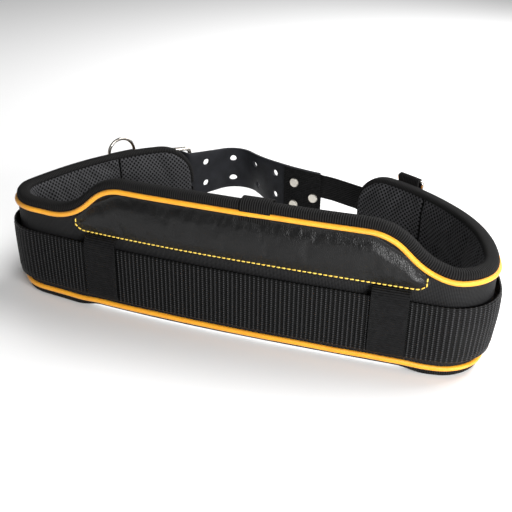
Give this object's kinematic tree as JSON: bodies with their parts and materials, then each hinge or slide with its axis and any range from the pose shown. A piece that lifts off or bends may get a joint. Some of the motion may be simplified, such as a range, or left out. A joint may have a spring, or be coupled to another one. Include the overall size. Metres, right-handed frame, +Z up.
{
  "type": "tool belt",
  "caption": "Padded tool belt with a raised lumbar patch, piped edges, wide webbing, D-rings and a leather billet closed in a two-prong roller buckle.",
  "frame": {"origin": "centre of the closed belt's bounding box, on the surface that its lower edge stands on", "axes": "+Z up, +X along the front towards the side on which the link strap leaves the pad, +Y from the lumbar front towards the closure"},
  "size_m": [0.4368, 0.282, 0.1308],
  "materials": {
    "nylon_shell": "woven, matt",
    "air_mesh": "knitted spacer mesh, matt",
    "board": "matt",
    "foam": "closed-cell foam",
    "binding": "ribbed tape",
    "piping": "smooth coated cord",
    "patch_leather": "grained, semi-gloss",
    "contrast_thread": "twisted thread",
    "webbing": "ribbed webbing, slight sheen",
    "keeper_webbing": "ribbed webbing",
    "strap_webbing": "ribbed webbing",
    "loop_webbing": "ribbed webbing",
    "nickel": "nickel plate, bright",
    "rivet_nickel": "nickel plate, satin",
    "billet_leather": "smooth, low sheen"
  },
  "bodies": {
    "belt": {"billet": "billet_leather", "billet_rivets": "rivet_nickel", "bottom_binding": "binding", "buckle_frame": "nickel", "centre_foam": "foam", "chape": "billet_leather", "chape_rivets": "rivet_nickel", "hang_loop": "binding", "left_foam": "foam", "left_keeper": "keeper_webbing", "left_ring_loop": "loop_webbing", "link_strap": "strap_webbing", "lower_piping": "piping", "lumbar_patch": "patch_leather", "main_webbing": "webbing", "mesh_lining": "air_mesh", "outer_shell": "nylon_shell", "patch_foam": "foam", "patch_stitching": "contrast_thread", "right_foam": "foam", "right_keeper": "keeper_webbing", "right_ring_loop": "loop_webbing", "rivet_burrs": "rivet_nickel", "stiffener_board": "board", "top_binding": "binding", "upper_piping": "piping", "web_tab": "strap_webbing"},
    "left_ring": {"left_d_ring": "nickel"},
    "right_ring": {"right_d_ring": "nickel"},
    "roller": {"buckle_roller": "nickel"},
    "upper_prong": {"prong_upper": "nickel"},
    "lower_prong": {"prong_lower": "nickel"},
    "keeper": {"tail_keeper": "billet_leather"}
  },
  "joints": [
    {"name": "left_ring_swing", "type": "hinge", "parent": "belt", "child": "left_ring", "pos_m": [-0.1732, 0.03174, 0.085], "axis": [-0.589, -0.8081, 0], "range_deg": [0, 150]},
    {"name": "right_ring_swing", "type": "hinge", "parent": "belt", "child": "right_ring", "pos_m": [0.12131, 0.05226, 0.092], "axis": [0.854, -0.5203, 0], "range_deg": [0, 166]},
    {"name": "roller_spin", "type": "hinge", "parent": "belt", "child": "roller", "pos_m": [-0.12865, 0.10495, 0.043], "axis": [0, 0, 1], "continuous": true},
    {"name": "upper_prong_lift", "type": "hinge", "parent": "belt", "child": "upper_prong", "pos_m": [-0.16424, 0.07909, 0.0555], "axis": [0, 0, 1], "range_deg": [0, 0.6]},
    {"name": "lower_prong_lift", "type": "hinge", "parent": "belt", "child": "lower_prong", "pos_m": [-0.16424, 0.07909, 0.0305], "axis": [0, 0, 1], "range_deg": [0, 0.6]},
    {"name": "keeper_slide", "type": "slide", "parent": "belt", "child": "keeper", "axis": [-0.3374, -0.9414, 0], "range_m": [-0.012, 0.012]}
  ]
}
